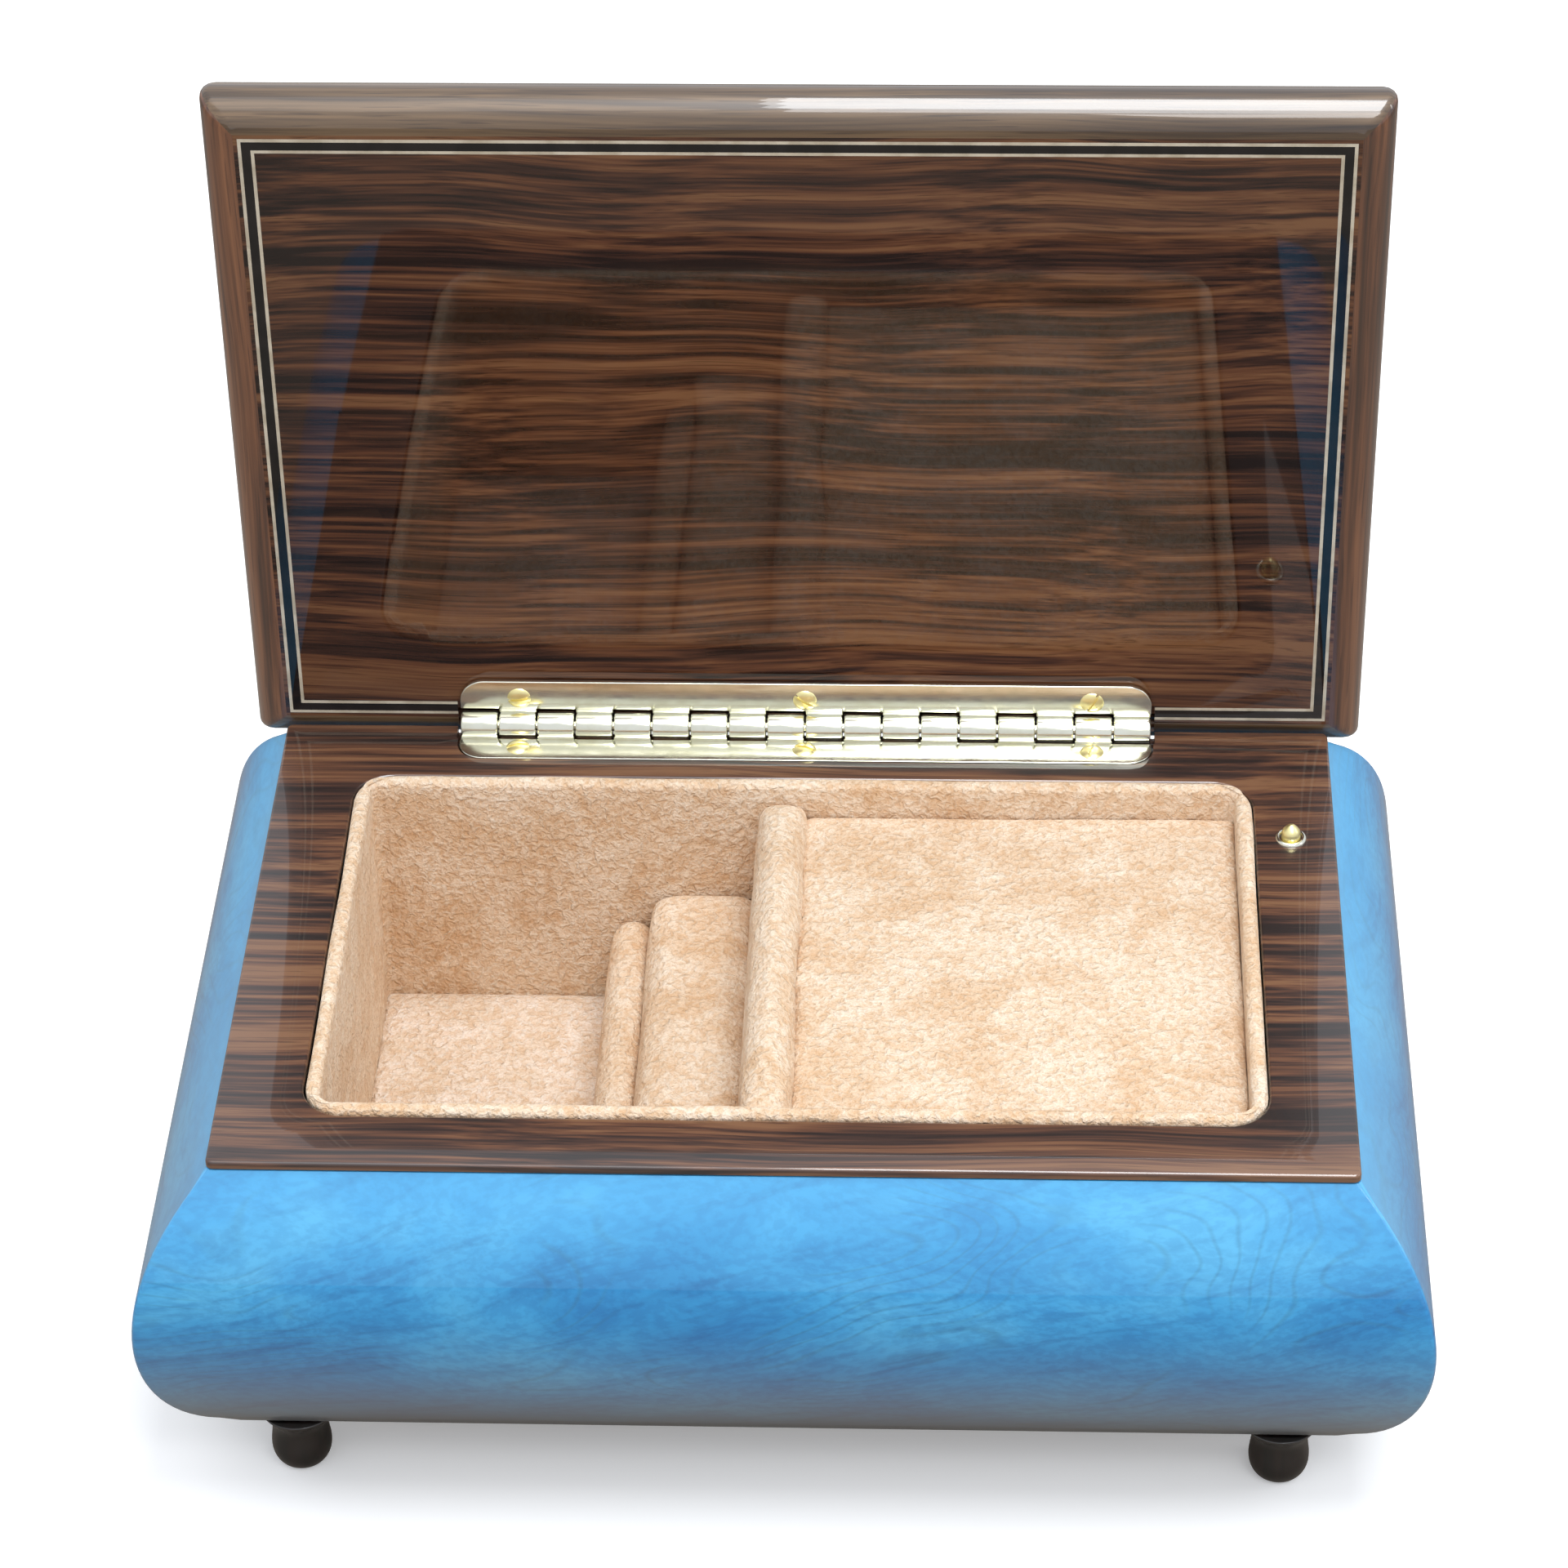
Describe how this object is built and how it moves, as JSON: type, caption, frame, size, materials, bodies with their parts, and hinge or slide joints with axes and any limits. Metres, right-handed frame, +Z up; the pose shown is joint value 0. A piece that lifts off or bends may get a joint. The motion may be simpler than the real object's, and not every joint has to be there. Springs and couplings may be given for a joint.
{
  "type": "cylinder music box",
  "caption": "Rectangular music box with outward-curved sides, open piano-hinged lid, velvet ring and jewel compartment and a cylinder movement under a covered board.",
  "frame": {"origin": "under the middle of the box on the surface it stands on, lid open", "axes": "+X to the right along the length, +Y from the front to the hinge, +Z up"},
  "size_m": [0.2048, 0.1394, 0.1908],
  "materials": {
    "blue_elm": "glossy blue-stained burl veneer under lacquer",
    "rosewood": "dark striped rosewood under mirror lacquer",
    "plain_wood": "unfinished pale wood",
    "foot_wood": "near-black lacquered turned wood",
    "beige_velvet": "beige velvet with a soft nap",
    "stringing": "pale and dark inlaid lines under lacquer",
    "brass": "polished",
    "steel": "polished steel"
  },
  "bodies": {
    "case": {"front_panel": "blue_elm", "rear_panel": "blue_elm", "left_panel": "blue_elm", "right_panel": "blue_elm", "top_frame": "rosewood", "bottom_board": "plain_wood", "foot_front_left": "foot_wood", "foot_front_right": "foot_wood", "foot_rear_left": "foot_wood", "foot_rear_right": "foot_wood", "velvet_lining": "beige_velvet", "floor_pad": "beige_velvet", "ring_roll_wide": "beige_velvet", "ring_roll_narrow": "beige_velvet", "divider": "beige_velvet", "movement_cover": "beige_velvet", "cover_ledge_front": "plain_wood", "cover_ledge_rear": "plain_wood", "stop_pin_bush": "brass", "hinge_lower_leaf": "brass", "hinge_pin": "brass", "hinge_screw_lower_1": "brass", "hinge_screw_lower_2": "brass", "hinge_screw_lower_3": "brass", "bedplate": "brass", "comb": "steel", "comb_base": "brass", "comb_screw_1": "steel", "comb_screw_2": "steel", "barrel_bridge": "brass", "cylinder_bracket": "brass", "governor_frame": "brass", "lever_post": "brass", "movement_screw_1": "steel", "movement_screw_2": "steel", "movement_screw_3": "steel"},
    "lid": {"lid_panel": "rosewood", "lid_stringing": "stringing", "hinge_upper_leaf": "brass", "hinge_screw_upper_1": "brass", "hinge_screw_upper_2": "brass", "hinge_screw_upper_3": "brass"},
    "stop_pin_body": {"stop_pin": "brass"},
    "lever_body": {"stop_lever": "steel"},
    "barrel_body": {"spring_barrel": "brass"},
    "cylinder_body": {"cylinder": "brass", "cylinder_shaft": "steel"},
    "governor_wheel_body": {"governor_wheel": "steel"},
    "fly_body": {"governor_fly": "steel"},
    "key_body": {"winding_arbor": "steel", "winding_key": "brass"}
  },
  "joints": [
    {"name": "lid_hinge", "type": "hinge", "parent": "case", "child": "lid", "pos_m": [0, 0.05625, 0.0692], "axis": [1, 0, 0], "range_deg": [0, 90]},
    {"name": "stop_pin_slide", "type": "slide", "parent": "case", "child": "stop_pin_body", "axis": [0, 0, 1], "range_m": [-0.0007, 0]},
    {"name": "stop_lever_pivot", "type": "hinge", "parent": "case", "child": "lever_body", "pos_m": [0.072, 0.0275, 0.048], "axis": [0, 1, 0], "range_deg": [0, 5]},
    {"name": "barrel_spin", "type": "hinge", "parent": "case", "child": "barrel_body", "pos_m": [0.026, -0.002, 0.0213], "axis": [0, 0, 1], "continuous": true},
    {"name": "cylinder_spin", "type": "hinge", "parent": "case", "child": "cylinder_body", "pos_m": [0.05, -0.002, 0.036], "axis": [1, 0, 0], "continuous": true},
    {"name": "governor_wheel_spin", "type": "hinge", "parent": "case", "child": "governor_wheel_body", "pos_m": [0.06, 0.0106, 0.036], "axis": [1, 0, 0], "continuous": true},
    {"name": "fly_spin", "type": "hinge", "parent": "case", "child": "fly_body", "pos_m": [0.0587, 0.0173, 0.03], "axis": [0, 0, 1], "continuous": true},
    {"name": "key_wind", "type": "hinge", "parent": "case", "child": "key_body", "pos_m": [0.026, -0.002, 0.008], "axis": [0, 0, 1], "continuous": true}
  ],
  "couplings": [
    {"joint": "stop_pin_slide", "follows": "lid_hinge", "m_per_rad": -0.00038},
    {"joint": "stop_lever_pivot", "follows": "lid_hinge", "ratio": 0.0364},
    {"joint": "cylinder_spin", "follows": "barrel_spin", "ratio": 2},
    {"joint": "governor_wheel_spin", "follows": "barrel_spin", "ratio": -4},
    {"joint": "fly_spin", "follows": "barrel_spin", "ratio": 8}
  ]
}
